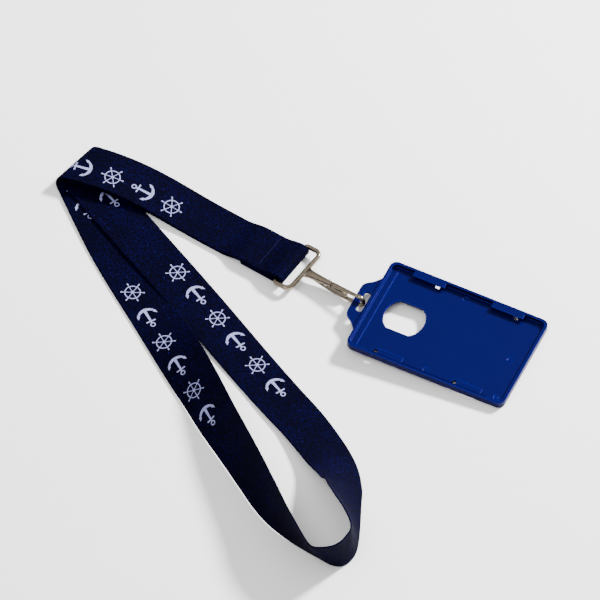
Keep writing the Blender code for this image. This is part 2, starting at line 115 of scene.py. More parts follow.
# details of the tray that the CAD leaves out or makes simpler
WINDOW_REACH = 1.9              # opening in the floor under each lip, from the wall inwards
WINDOW_END = 0.5                # and how far it stays inside the lip's ends
FAR_NOTCH = (-5.2, -2.8, 3.4, 1.5)   # under a far lip: two places from its end, two distances from the wall
NEAR_NOTCH_REACH = 4.0          # beside a near lip: furthest and least distance from the wall
NEAR_NOTCH_CLEAR = 1.9
NEAR_NOTCH_PAST = 3.6
NEAR_NOTCH_OVERLAP = 0.6
NEAR_LIP_CUT = 4.0              # a near lip begins this much later
GROOVE_PLACE = (5.2, 5.5)
GROOVE_DEPTH = 0.12
EJECTOR_MARKS = ((44.0, 25.3, 1.5), (44.0, -25.3, 1.5), (80.5, 0.0, 1.5), (84.0, -25.0, 1.6))
EJECTOR_DEPTH = 0.15
BOSS = (84.0, -25.0, 0.7)       # raised middle of the last ejector mark
PLASTIC_BEVEL = 0.25
EDGE_HIGHLIGHT_LEVELS = (0.15, 0.97)   # upward share of a face's direction on a bevelled upper edge that gets the painted highlight

# camera and light
CAMERA_ELEVATION = 52.5
CAMERA_DISTANCE = 9.0
FIELD_WIDTH = 0.3109


# ---------------------------------------------------------------- nodes

class Graph:
    """A material's node tree, built a node at a time."""

    def __init__(self, name):
        self.material = bpy.data.materials.new(name)
        self.material.use_nodes = True
        self.tree = self.material.node_tree
        self.shader = self.tree.nodes["Principled BSDF"]

    def node(self, kind, **settings):
        made = self.tree.nodes.new("ShaderNode" + kind)
        for key, value in settings.items():
            setattr(made, key, value)
        return made

    def feed(self, socket, value):
        if isinstance(value, bpy.types.NodeSocket):
            self.tree.links.new(value, socket)
        elif isinstance(value, (tuple, list)) and socket.type == "RGBA":
            socket.default_value = (*value[:3], 1.0)
        else:
            socket.default_value = value

    def maths(self, operation, first, second=0.0):
        made = self.node("Math", operation=operation)
        self.feed(made.inputs[0], first)
        self.feed(made.inputs[1], second)
        return made.outputs[0]

    def mix(self, share, low, high):
        made = self.node("Mix", data_type="RGBA")
        self.feed(made.inputs[0], share)
        self.feed(made.inputs[6], low)
        self.feed(made.inputs[7], high)
        return made.outputs[2]

    def ramp(self, value, low, high, to_low=0.0, to_high=1.0):
        made = self.node("MapRange", interpolation_type="SMOOTHSTEP")
        for socket, number in zip(made.inputs, (value, low, high, to_low, to_high)):
            self.feed(socket, number)
        return made.outputs[0]

    def noise(self, where, scale, detail=3.0):
        made = self.node("TexNoise")
        self.feed(made.inputs["Vector"], where)
        made.inputs["Scale"].default_value = scale
        made.inputs["Detail"].default_value = detail
        return made.outputs["Fac"]

    def bump(self, height, distance, strength=1.0, under=None):
        made = self.node("Bump")
        made.inputs["Distance"].default_value = distance
        made.inputs["Strength"].default_value = strength
        self.feed(made.inputs["Height"], height)
        if under is not None:
            self.feed(made.inputs["Normal"], under)
        return made.outputs["Normal"]

    def surface(self, **values):
        for name, value in values.items():
            self.feed(self.shader.inputs[name.replace("_", " ")], value)
        return self.material


def weave(graph):
    """Ribs across the strap, broken by crossing yarns: (height, fine noise, flat position in mm)."""
    place = graph.node("UVMap", uv_map="flat").outputs[0]
    split = graph.node("SeparateXYZ")
    graph.feed(split.inputs[0], place)
    along, across = split.outputs[0], split.outputs[1]
    wander = graph.noise(place, 0.35, 2.0)
    rib = graph.maths("SINE", graph.maths("MULTIPLY", graph.maths("ADD", along, wander), 2 * math.pi / 0.8))
    yarn = graph.maths("SINE", graph.maths("MULTIPLY", across, 2 * math.pi / 0.62))
    yarn = graph.maths("MULTIPLY", yarn, 0.35)
    height = graph.maths("ADD", graph.maths("MULTIPLY", rib, 0.65), yarn)
    fine = graph.noise(place, 3.5, 4.0)
    return graph.maths("ADD", height, graph.maths("MULTIPLY", fine, 0.5)), fine, place


def ribbon_material():
    graph = Graph("ribbon_weave")
    height, fine, place = weave(graph)
    shade = graph.ramp(height, -0.6, 1.2)
    colour = graph.mix(shade, (0.0001, 0.0, 0.0025), (0.0005, 0.0, 0.017))
    patches = graph.ramp(graph.noise(place, 0.05, 3.0), 0.35, 0.7)
    colour = graph.mix(graph.maths("MULTIPLY", patches, 0.4), colour, (0.0008, 0.0, 0.032))
    mottle = graph.ramp(graph.noise(place, 0.8, 3.0), 0.42, 0.58)
    colour = graph.mix(mottle, (0.0001, 0.0, 0.002), colour)
    # painted highlight: sparse light specks stand in for glints off the fibres
    glint_speck = graph.ramp(graph.noise(place, 0.75, 1.0), 0.70, 0.78)
    colour = graph.mix(graph.maths("MULTIPLY", glint_speck, 0.8), colour, (0.008, 0.006, 0.11))
    return graph.surface(Base_Color=colour, Roughness=graph.ramp(fine, 0.2, 0.8, 0.62, 0.85),
                         Specular_IOR_Level=0.02, Normal=graph.bump(height, 0.00012, 0.7))


def print_material():
    """Heat-pressed ink that sits on the ribs and misses some of the gaps between them."""
    graph = Graph("print_ink")
    height, fine, place = weave(graph)
    gap = graph.ramp(height, -0.55, 0.1)
    ink = graph.mix(graph.noise(place, 1.2, 3.0), (0.20, 0.21, 0.40), (0.32, 0.33, 0.55))
    colour = graph.mix(gap, (0.09, 0.10, 0.26), ink)
    worn = graph.ramp(graph.noise(place, 4.5, 2.0), 0.68, 0.8)
    colour = graph.mix(graph.maths("MULTIPLY", worn, 0.6), colour, (0.01, 0.01, 0.07))
    return graph.surface(Base_Color=colour, Roughness=graph.ramp(fine, 0.2, 0.8, 0.5, 0.7),
                         Specular_IOR_Level=0.05, Normal=graph.bump(height, 0.00008, 0.6))


def thread_material():
    graph = Graph("sewing_thread")
    place = graph.node("TexCoord").outputs["Object"]
    twist = graph.node("TexWave", wave_type="BANDS", bands_direction="DIAGONAL")
    graph.feed(twist.inputs["Vector"], place)
    twist.inputs["Scale"].default_value = 900.0
    twist.inputs["Distortion"].default_value = 1.5
    colour = graph.mix(twist.outputs["Fac"], (0.0004, 0.0004, 0.01), (0.003, 0.003, 0.04))
    fuzz = graph.noise(place, 4000.0, 2.0)
    height = graph.maths("ADD", twist.outputs["Fac"], graph.maths("MULTIPLY", fuzz, 0.4))
    return graph.surface(Base_Color=colour, Roughness=graph.ramp(fuzz, 0.2, 0.8, 0.55, 0.8),
                         Specular_IOR_Level=0.05, Normal=graph.bump(height, 0.00006, 0.8))


def metal_material(name, light, dark, rough, wave):
    """Plated metal: slow unevenness of the casting, fine scratches, and painted shade that darkens the
    hollows by ambient occlusion.
    """
    graph = Graph(name)
    place = graph.node("TexCoord").outputs["Object"]
    cast = graph.noise(place, 260.0, 2.0)
    grain = graph.noise(place, 3000.0, 3.0)
    stretch = graph.node("Mapping")
    stretch.inputs["Rotation"].default_value = (0.0, 0.0, math.radians(-HOOK_AZIMUTH))
    stretch.inputs["Scale"].default_value = (200.0, 3000.0, 3000.0)
    graph.feed(stretch.inputs["Vector"], place)
    scratch = graph.ramp(graph.noise(stretch.outputs[0], 1.0, 1.0), 0.62, 0.72)
    # painted shade: the colour is darkened where the hollows are occluded
    ambient = graph.node("AmbientOcclusion", samples=8)
    ambient.inputs["Distance"].default_value = 0.0015
    hollow_shade = graph.ramp(ambient.outputs["AO"], 0.35, 0.9)
    stain = graph.ramp(graph.noise(place, 500.0, 4.0), 0.4, 0.75)
    colour = graph.mix(graph.maths("MULTIPLY", stain, 0.3), light, dark)
    colour = graph.mix(hollow_shade, tuple(0.45 * c for c in dark), colour)
    roughness = graph.maths("ADD", graph.ramp(grain, 0.3, 0.8, rough, rough + 0.12),
                            graph.maths("MULTIPLY", scratch, 0.06))
    normal = graph.bump(cast, wave, 0.15)
    normal = graph.bump(grain, 0.00001, 0.1, normal)
    return graph.surface(Base_Color=colour, Metallic=1.0, Roughness=roughness, Normal=normal)


def plastic_material():
    """Moulded plastic: deep royal blue, slight flow marks, fine scuffs, and a painted highlight that makes
    the bevelled upper edges paler.
    """
    graph = Graph("holder_plastic")
    place = graph.node("TexCoord").outputs["Object"]
    flow = graph.noise(place, 18.0, 2.0)
    grain = graph.noise(place, 1400.0, 3.0)
    stretch = graph.node("Mapping")
    stretch.inputs["Rotation"].default_value = (0.0, 0.0, math.radians(-HOLDER_AZIMUTH))
    stretch.inputs["Scale"].default_value = (60.0, 2500.0, 400.0)
    graph.feed(stretch.inputs["Vector"], place)
    scuff = graph.ramp(graph.noise(stretch.outputs[0], 1.0, 2.0), 0.66, 0.78)
    colour = graph.mix(flow, (0.0003, 0.0, 0.034), (0.0004, 0.0, 0.042))
    colour = graph.mix(graph.maths("MULTIPLY", scuff, 0.2), colour, (0.001, 0.0, 0.06))
    # painted highlight: the upward-facing bevelled edges are made paler blue
    edge_highlight = graph.node("Attribute", attribute_name="edge_highlight").outputs["Fac"]
    colour = graph.mix(graph.maths("MULTIPLY", edge_highlight, 0.8), colour, (0.002, 0.003, 0.15))
    roughness = graph.maths("ADD", graph.ramp(grain, 0.3, 0.8, 0.28, 0.4),
                            graph.maths("MULTIPLY", scuff, 0.15))
    normal = graph.bump(flow, 0.0006, 0.2)
    normal = graph.bump(grain, 0.00002, 0.3, normal)
    return graph.surface(Base_Color=colour, Roughness=roughness, Specular_IOR_Level=0.06, Normal=normal)


def floor_material():
    graph = Graph("pale_floor")
    place = graph.node("TexCoord").outputs["Object"]
    colour = graph.mix(graph.noise(place, 6.0, 2.0), (0.93, 0.93, 0.93), (0.95, 0.95, 0.95))
    return graph.surface(Base_Color=colour, Roughness=0.9, Specular_IOR_Level=0.1)


# ---------------------------------------------------------------- ribbon's shape, as in the CAD

def direction(azimuth):
    angle = math.radians(azimuth)
    return Vector((math.cos(angle), math.sin(angle), 0.0))


def smooth_step(value, start, end):
    t = min(max((value - start) / (end - start), 0.0), 1.0)
    return t * t * (3.0 - 2.0 * t)


def spline(points, count):
    """Points evenly spaced along a smooth curve through the given rows."""
    rows = np.array(points, dtype=float)
    padded = np.vstack([2 * rows[0] - rows[1], rows, 2 * rows[-1] - rows[-2]])
    fine = []
    steps = 40
    for i in range(1, len(padded) - 2):
        a, b, c, d = padded[i - 1:i + 3]
        for k in range(steps):
            t = k / steps
            fine.append(0.5 * (2 * b + (c - a) * t + (2 * a - 5 * b + 4 * c - d) * t ** 2
                               + (3 * b - 3 * c + d - a) * t ** 3))
    fine.append(rows[-1])
    fine = np.array(fine)
    lengths = np.concatenate([[0], np.cumsum(np.linalg.norm(np.diff(fine[:, :3], axis=0), axis=1))])
    places = np.linspace(0, lengths[-1], count)
    return np.stack([np.interp(places, lengths, fine[:, j]) for j in range(rows.shape[1])], axis=1)


def strap_line():
    here = Vector((BAR_POINT.x, BAR_POINT.y, 0.0))
    line = [here.copy()]
    for along in range(int(FOLD_DISTANCE)):
        azimuth = STRAP_AZIMUTH + STRAP_TURN * smooth_step(along + 0.5, STRAP_SWING_START, FOLD_DISTANCE)
        here += direction(azimuth)
        line.append(here.copy())
    return line


class Ply:
    """One of the two plies: sewn end, doubled strap and fold, by flat place (along, across)."""

    def __init__(self, order, fold_azimuth, fold_radius, rest):
        self.order = order
        self.radius = fold_radius
        self.axis = direction(fold_azimuth)
        self.away = direction(fold_azimuth + 90.0)
        self.line = strap_line()
        self.start = self.line[-1]
        self.rest = rest
        self.wrap = BAR_RADIUS + BAR_CLEAR + RIBBON_THICKNESS / 2 + order * PLY_STEP

    def strap_height(self, along):
        bar = BAR_POINT.z + self.wrap
        sewn = TABLE_GAP + SEWN_LIFT + RIBBON_THICKNESS / 2 + (2 + self.order) * PLY_STEP
        table = sewn - 2 * PLY_STEP - SEWN_LIFT
        top = self.rest + 2 * self.radius
        height = bar + (sewn - bar) * smooth_step(along, 0.0, 12.0)
        height += (table - sewn) * smooth_step(along, 22.0, 36.0)
        return height + (top - table) * smooth_step(along, 52.0, FOLD_DISTANCE - 4.0)

    def place(self, along, across):
        forward = direction(STRAP_AZIMUTH)
        side = direction(STRAP_AZIMUTH - 90.0) * across
        turn = math.pi * self.wrap
        low = BAR_POINT.z - self.wrap
        bar = Vector((BAR_POINT.x, BAR_POINT.y, 0.0))
        if along < -turn:
            tail = TABLE_GAP + SEWN_LIFT + RIBBON_THICKNESS / 2 + (1 - self.order) * PLY_STEP
            height = low + (tail - low) * smooth_step(-along - turn, 0.0, 9.0)
            return bar + forward * (-along - turn) + side + Vector((0, 0, height))
        if along < 0.0:
            angle = -along / self.wrap
            reach = -self.wrap * math.sin(angle)
            return bar + forward * reach + side + Vector((0, 0, BAR_POINT.z + self.wrap * math.cos(angle)))
        azimuth = STRAP_AZIMUTH + STRAP_TURN * smooth_step(along, STRAP_SWING_START, FOLD_DISTANCE)
        whole = min(int(along), len(self.line) - 1)
        flat = self.line[whole] + direction(azimuth) * (along - whole) + direction(azimuth - 90.0) * across
        past = (flat - self.start).dot(self.away)
        run = (flat - self.start).dot(self.axis)
        bend = math.pi * self.radius
        if past <= 0.0:
            return flat + Vector((0, 0, self.strap_height(along)))
        if past < bend:
            angle = past / self.radius
            return (self.start + self.away * (self.radius * math.sin(angle)) + self.axis * run
                    + Vector((0, 0, self.rest + self.radius * (1 + math.cos(angle)))))
        return self.start - self.away * (past - bend) + self.axis * run + Vector((0, 0, self.rest))


# outer edge of the open loop: place on the table, height, and turn up on this edge in degrees
LOOP_EDGE = [
    (-107.6, 26.0, 0.45, 0.0),
    (-85.3, -19.2, 0.45, 4.0),
    (-71.7, -46.8, 0.45, 22.0),
    (-60.2, -68.9, 0.45, 36.0),
    (-51.2, -86.6, 0.42, 44.0),
    (-41.2, -104.0, 0.40, 53.0),
    (-31.1, -122.2, 0.35, 60.0),
    (-23.3, -135.9, 0.30, 66.0),
    (-15.0, -147.0, 0.25, 75.0),
    (-3.1, -157.8, 0.20, 93.0),
    (10.4, -167.3, 0.20, 113.0),
    (16.6, -171.4, 0.20, 105.0),
    (22.3, -171.5, 0.20, 92.0),
    (27.6, -165.9, 0.20, 86.0),
    (30.1, -155.5, 0.20, 75.0),
    (31.5, -133.3, 0.25, 46.0),
    (31.9, -122.8, 0.30, 31.0),
    (29.6, -109.1, 0.35, 18.0),
    (23.7, -94.9, 0.40, 9.0),
    (12.2, -75.1, 0.45, 3.0),
    (-0.8, -57.1, 0.45, 1.0),
    (-16.3, -35.0, 0.50, 0.0),
    (-49.6, 12.9, 1.55, 0.0),
]

# places across the ribbon from its outer edge, and the thickness there: the woven edge is rounded
ACROSS = [0.0, 0.12, 0.4, 1.1] + [2.0 + 1.75 * k for k in range(13)] + [23.9, 24.6, 24.88, 25.0]
EDGE_SHARE = {0.0: 0.3, 0.12: 0.75, 0.4: 1.0, 24.6: 1.0, 24.88: 0.75, 25.0: 0.3}


class Ribbon:
    """Middle surface of the whole ribbon on a fine grid, looked up by flat place."""

    def __init__(self):
        ground = TABLE_GAP + RIBBON_THICKNESS / 2
        outer = Ply(1, FOLD_AZIMUTH_A, FOLD_RADIUS_A, ground)
        inner = Ply(0, FOLD_AZIMUTH_B, FOLD_RADIUS_B, ground + PLY_STEP)
        half = RIBBON_WIDTH / 2
        outer_rows = [[outer.place(s, w - half) for w in ACROSS] for s in self.stations(outer)]
        inner_rows = [[inner.place(s, half - w) for w in ACROSS] for s in self.stations(inner)]
        loop = self.loop_rows(outer_rows[-1][0], inner_rows[-1][0])
        grid = np.array([[tuple(p) for p in row] for row in outer_rows + loop + inner_rows[::-1]])
        self.grid = (grid - np.array(MIDDLE)) * MM
        down = np.gradient(self.grid, axis=0)
        over = np.gradient(self.grid, axis=1)
        normal = np.cross(down, over)
        self.normal = normal / np.linalg.norm(normal, axis=2, keepdims=True)
        line = self.grid[:, len(ACROSS) // 2]
        steps = np.linalg.norm(np.diff(line, axis=0), axis=1) / MM
        self.along = np.concatenate([[0.0], np.cumsum(steps)])
        self.length = self.along[-1]
        self.start_a = TAIL + math.pi * outer.wrap
        self.start_b = self.length - TAIL - math.pi * inner.wrap

    @staticmethod
    def stations(ply):
        turn = math.pi * ply.wrap
        bend = math.pi * ply.radius
        return np.concatenate([np.linspace(-turn - TAIL, -turn - 0.8, 26), np.linspace(-turn, 0.0, 16),
                               np.linspace(0.9, FOLD_DISTANCE - 6.0, 130),
                               np.linspace(FOLD_DISTANCE - 5.3, FOLD_DISTANCE + bend + 4.0, 34)])

    @staticmethod
    def loop_rows(first, last):
        rows = []
        stations = spline([(*first, 0.0)] + LOOP_EDGE + [(*last, 0.0)], 470)
        tangents = np.gradient(stations[:, :3], axis=0)
        for station, tangent in zip(stations, tangents):
            ahead = Vector((tangent[0], tangent[1], 0.0)).normalized()
            inward = Vector((-ahead.y, ahead.x, 0.0))
            lift = math.radians(max(station[3], 0.0))
            wide = inward * math.cos(lift) + Vector((0, 0, 1)) * math.sin(lift)
            rows.append([Vector(station[:3]) + wide * w for w in ACROSS])
        return rows[1:-1]

    def at(self, along, across, height):
        """A point over the ribbon's middle surface, in metres; along and across in millimetres."""
        i = int(np.clip(np.searchsorted(self.along, along) - 1, 0, len(self.along) - 2))
        j = int(np.clip(np.searchsorted(ACROSS, across) - 1, 0, len(ACROSS) - 2))
        s = (along - self.along[i]) / (self.along[i + 1] - self.along[i])
        t = (across - ACROSS[j]) / (ACROSS[j + 1] - ACROSS[j])
        weights = ((i, j, (1 - s) * (1 - t)), (i + 1, j, s * (1 - t)),
                   (i, j + 1, (1 - s) * t), (i + 1, j + 1, s * t))
        point = sum(self.grid[a, b] * share for a, b, share in weights)
        normal = sum(self.normal[a, b] * share for a, b, share in weights)
        return point + normal / np.linalg.norm(normal) * height * MM


def make_piece(name, points, faces, material, body, flat):
    """A piece from points in metres; flat gives each point's place on the flat ribbon in mm."""
    mesh = bpy.data.meshes.new(name)
    mesh.from_pydata([tuple(p) for p in points], [], faces)
    mesh.update()
    layer = mesh.uv_layers.new(name="flat")
    corners = np.empty(len(mesh.loops), dtype=np.int32)
    mesh.loops.foreach_get("vertex_index", corners)
    layer.data.foreach_set("uv", np.array(flat, dtype=np.float32)[corners].ravel())
    mesh.shade_smooth()
    mesh.set_sharp_from_angle(angle=math.radians(60.0))
    mesh.materials.append(material)
    item = bpy.data.objects.new(name, mesh)
    bpy.context.scene.collection.objects.link(item)
    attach(item, body)
    return item


def make_ribbon(ribbon, material):
    count, wide = ribbon.grid.shape[:2]
    share = np.array([EDGE_SHARE.get(w, 1.0) for w in ACROSS])[None, :, None]
    offset = ribbon.normal * RIBBON_THICKNESS / 2 * MM * share
    points = np.concatenate([(ribbon.grid + offset).reshape(-1, 3), (ribbon.grid - offset).reshape(-1, 3)])
    flat = [(s, w) for s in ribbon.along for w in ACROSS] * 2
    under = count * wide
    faces = []
    for i in range(count - 1):
        for j in range(wide - 1):
            a, b, c, d = i * wide + j, (i + 1) * wide + j, (i + 1) * wide + j + 1, i * wide + j + 1
            faces.append((a, b, c, d))
            faces.append((a + under, d + under, c + under, b + under))
        for j, order in ((0, 1), (wide - 1, -1)):
            a, b = i * wide + j, (i + 1) * wide + j
            faces.append((a, a + under, b + under, b)[::order])
    for i, order in ((0, 1), (count - 1, -1)):
        for j in range(wide - 1):
            a, b = i * wide + j, i * wide + j + 1
            faces.append((a, b, b + under, a + under)[::order])
    return make_piece("ribbon_cloth", points, faces, material, "ribbon", flat)


# ---------------------------------------------------------------- print

class Sketch:
    """Flat shapes in millimetres, each a little higher than the last so that none lie in one plane."""

    def __init__(self):
        self.points = []
        self.faces = []
        self.layer = 0

    def strip(self, left, right):
        """A band between two rows of points."""
        first = len(self.points)
        lift = LAYER_LIFT * self.layer
        self.layer += 1
        for a, b in zip(left, right):
            middle = ((a[0] + b[0]) / 2, (a[1] + b[1]) / 2)
            self.points += [(*a, lift), (*middle, lift), (*b, lift)]
        for k in range(len(left) - 1):
            n = first + 3 * k
            self.faces += [(n, n + 1, n + 4, n + 3), (n + 1, n + 2, n + 5, n + 4)]

    def bar(self, start, end, width, end_width=None):
        end_width = width if end_width is None else end_width
        long = math.hypot(end[0] - start[0], end[1] - start[1])
        ux, uy = (end[0] - start[0]) / long, (end[1] - start[1]) / long
        steps = max(int(long / 0.8), 1)
        left, right = [], []
        for k in range(steps + 1):
            t = k / steps
            x, y = start[0] + ux * long * t, start[1] + uy * long * t
            half = (width + (end_width - width) * t) / 2
            left.append((x - uy * half, y + ux * half))
            right.append((x + uy * half, y - ux * half))
        self.strip(left, right)

    def band(self, centre, inner, outer, begin=0.0, sweep=360.0, steps=24):
        """A ring or arc; inner and outer are radii, or functions of the share of the sweep."""
        left, right = [], []
        for k in range(steps + 1):
            t = k / steps
            angle = math.radians(begin + sweep * t)
            for row, radius in ((left, inner), (right, outer)):
                r = radius(t) if callable(radius) else radius
                row.append((centre[0] + r * math.cos(angle), centre[1] + r * math.sin(angle)))
        self.strip(left, right)


def wheel_sketch():
    """Ship's wheel with six handles."""
    sketch = Sketch()
    sketch.band((0, 0), 3.75, 4.3, steps=36)
    for k in range(6):
        angle = math.radians(60.0 * k)
        c, s = math.cos(angle), math.sin(angle)
        sketch.bar((0.5 * c, 0.5 * s), (5.0 * c, 5.0 * s), 0.38)
        sketch.bar((4.8 * c, 4.8 * s), (6.1 * c, 6.1 * s), 0.4, 0.85)
        sketch.band((6.0 * c, 6.0 * s), 0.0, 0.42, steps=10)
    sketch.band((0, 0), 0.0, 0.85, steps=14)
    return sketch


def anchor_sketch():
    """Anchor with a ring, a stock and a crescent crown; its ring end is at plus x."""
    sketch = Sketch()
    sketch.band((5.2, 0), 0.85, 1.45, steps=22)
    sketch.bar((4.0, 0), (-5.2, 0), 0.9, 1.7)
    sketch.bar((2.7, -2.2), (2.7, 2.2), 0.8)
    for side in (-1, 1):
        sketch.band((2.7, 2.2 * side), 0.0, 0.5, steps=10)
    sketch.band((0.3, 0), lambda t: 5.5 - 0.65 * math.sin(math.pi * t) ** 0.8,
                lambda t: 5.6 + 0.95 * math.sin(math.pi * t) ** 0.8, 107.0, 146.0, 30)
    for side in (-1, 1):
        angle = math.radians(107.0)
        tip = (0.3 + 5.6 * math.cos(angle), side * 5.6 * math.sin(angle))
        sketch.bar((tip[0] + 0.3, tip[1] + 0.15 * side), (tip[0] - 1.6, tip[1] - 0.9 * side), 0.1, 1.9)
    return sketch


def make_print(ribbon, name, kind, along, side, facing, material):
    """One printed figure on one face; facing is +1 where the ring end looks along the grid."""
    points, flat = [], []
    for x, y, lift in kind.points:
        place = (along + facing * x, PRINT_FROM_EDGE + facing * y)
        points.append(ribbon.at(*place, side * (RIBBON_THICKNESS / 2 + PRINT_LIFT + lift)))
        flat.append(place)
    faces = kind.faces if side > 0 else [face[::-1] for face in kind.faces]
    make_piece(name, points, faces, material, "ribbon", flat)


def make_prints(ribbon, material):
    kinds = (wheel_sketch(), anchor_sketch())
    runs = (("a", PRINT_GROUPS_A, ribbon.start_a, 1), ("b", PRINT_GROUPS_B, ribbon.start_b, -1))
    for ply, groups, start, facing in runs:
        for group, (first, pitch) in enumerate(groups):
            for k in range(PRINT_PER_GROUP):
                along = start + facing * (first + pitch * k)
                for side, face in ((1, "face"), (-1, "back")):
                    name = "print_%s%d_%d_%s" % (ply, group, k, face)
                    make_print(ribbon, name, kinds[k % 2], along, side, facing, material)


# ---------------------------------------------------------------- card tray

def outward(mesh):
    work = bmesh.new()
    work.from_mesh(mesh)
    bmesh.ops.recalc_face_normals(work, faces=work.faces)
    work.to_mesh(mesh)
    work.free()


def outline_solid(name, outline, low, high):
    """An upright solid over an outline, in millimetres."""
    count = len(outline)
    points = [(x, y, low) for x, y in outline] + [(x, y, high) for x, y in outline]
    faces = [tuple(range(count))[::-1], tuple(range(count, 2 * count))]
    faces += [(k, (k + 1) % count, (k + 1) % count + count, k + count) for k in range(count)]
    mesh = bpy.data.meshes.new(name)
    mesh.from_pydata([tuple(MM * c for c in p) for p in points], [], faces)
    outward(mesh)
    return mesh


def box_outline(x0, x1, y0, y1, radius=0.0, steps=8):
    if radius <= 0.0:
        return [(x0, y0), (x1, y0), (x1, y1), (x0, y1)]
    points = []
    corners = ((x1 - radius, y1 - radius, 0), (x0 + radius, y1 - radius, 90),
               (x0 + radius, y0 + radius, 180), (x1 - radius, y0 + radius, 270))
    for cx, cy, begin in corners:
        for k in range(steps + 1):
            angle = math.radians(begin + 90.0 * k / steps)
            points.append((cx + radius * math.cos(angle), cy + radius * math.sin(angle)))
    return points


def disc_outline(x, y, radius, steps=24):
    return [(x + radius * math.cos(2 * math.pi * k / steps), y + radius * math.sin(2 * math.pi * k / steps))
            for k in range(steps)]


def flange_outline():
    shoulder = [(0.6, 20.5), (-0.4, 18.6), (-1.6, 16.6), (-3.4, 14.4), (-5.4, 12.9)]
    corner = [(-7.0, 11.6), (-8.0, 9.9), (-FLANGE_REACH, 7.8)]
    side = shoulder + corner
    return side + [(x, -y) for x, y in reversed(side)]


def thumb_hole_outline():
    points = []
    centre_x, half_y, half_x, crown = 20.4, 9.5, 6.4, 3.6
    steps = 8
    for sign in (1, -1):
        for k in range(steps + 1):
            t = -1 + 2 * k / steps
            bulge = crown * (1 - t * t) + (0.9 if abs(t) < 1 else 0.0)
            points.append((centre_x + sign * (half_x + bulge), sign * half_y * t))
    return points


class Carved:
    """A solid that is added to and cut in turn."""

    def __init__(self, name, mesh):
        self.item = bpy.data.objects.new(name, mesh)
        bpy.context.scene.collection.objects.link(self.item)
        self.tools = []

    def change(self, mesh, operation):
        tool = bpy.data.objects.new("tool", mesh)
        bpy.context.scene.collection.objects.link(tool)
        step = self.item.modifiers.new("step", "BOOLEAN")
        step.operation = operation
        step.solver = "EXACT"
        step.object = tool
        self.tools.append(tool)

    def settle(self):
        """Keep the carved mesh and drop the tools."""
        keep_shape(self.item)
        for tool in self.tools:
            bpy.data.objects.remove(tool)
        return self.item


def holder_matrix():
    turn = Matrix.Rotation(math.radians(HOLDER_AZIMUTH), 4, "Z")
    tilt = Matrix.Rotation(math.radians(HOLDER_TILT), 4, "Y")
    far = Matrix.Translation((HOLDER_FAR_END - MIDDLE) * MM)
    return far @ turn @ tilt @ Matrix.Translation(Vector((-HOLDER_LENGTH, 0, 0)) * MM)


def add_lip(tray, centre, sign, inner):
    """A lip with its opening and notch; sign is +1 on the far side and -1 on the near side."""
    x0, x1 = centre - LIP_LENGTH / 2, centre + LIP_LENGTH / 2
    x0 += NEAR_LIP_CUT if sign < 0 else 0.0
    floor_top = HOLDER_FLOOR + 0.2
    near, far = sorted((sign * (inner - LIP_REACH), sign * (inner + 0.5)))
    lip = box_outline(x0, x1, near, far)
    tray.change(outline_solid("lip", lip, HOLDER_HEIGHT - LIP_THICK, HOLDER_HEIGHT - 0.01), "UNION")
    near, far = sorted((sign * (inner - WINDOW_REACH), sign * (inner - 0.3)))
    window = box_outline(x0 + WINDOW_END, x1 - WINDOW_END, near, far)
    tray.change(outline_solid("window", window, -1.0, floor_top), "DIFFERENCE")
    if sign > 0:
        start, end, reach, clear = FAR_NOTCH
        notch = box_outline(x1 + start, x1 + end, inner - reach, inner - clear)
    else:
        start, end = x0 - NEAR_NOTCH_PAST, x0 + NEAR_NOTCH_OVERLAP
        clear, reach = NEAR_NOTCH_CLEAR - inner, NEAR_NOTCH_REACH - inner
        notch = [(start, clear), (end, clear), (end, reach), (start + 1.0, reach)]
    tray.change(outline_solid("notch", notch, -1.0, floor_top), "DIFFERENCE")


def add_moulding_marks(tray, inner):
    groove = box_outline(*GROOVE_PLACE, -inner + 2, inner - 2)
    cut = outline_solid("groove", groove, HOLDER_FLOOR - GROOVE_DEPTH, HOLDER_FLOOR + 1)
    tray.change(cut, "DIFFERENCE")
    for x, y, radius in EJECTOR_MARKS:
        disc = disc_outline(x, y, radius)
        mark = outline_solid("mark", disc, HOLDER_FLOOR - EJECTOR_DEPTH, HOLDER_FLOOR + 1)
        tray.change(mark, "DIFFERENCE")
    boss = outline_solid("boss", disc_outline(*BOSS, 16), HOLDER_FLOOR - 0.3, HOLDER_FLOOR - 0.02)
    tray.change(boss, "UNION")


def round_edges(item, width, limit):
    bevel = item.modifiers.new("edge", "BEVEL")
    bevel.width = width * MM
    bevel.segments = 2
    bevel.limit_method = "ANGLE"
    bevel.angle_limit = math.radians(limit)
    bevel.harden_normals = True
    return bevel


def keep_shape(item):
    """Make the modifiers' result the item's own mesh."""
    depsgraph = bpy.context.evaluated_depsgraph_get()
    mesh = bpy.data.meshes.new_from_object(item.evaluated_get(depsgraph))
    item.modifiers.clear()
    item.data = mesh


def mark_edge_highlight(mesh, upright):
    """Mark the bevelled upper edges that get the painted highlight in the material, by how far each face
    turns upwards.
    """
    low, high = EDGE_HIGHLIGHT_LEVELS
    edge_highlight = mesh.attributes.new("edge_highlight", "FLOAT", "FACE")
    for face in mesh.polygons:
        edge_highlight.data[face.index].value = 1.0 if low < face.normal.dot(upright) < high else 0.0


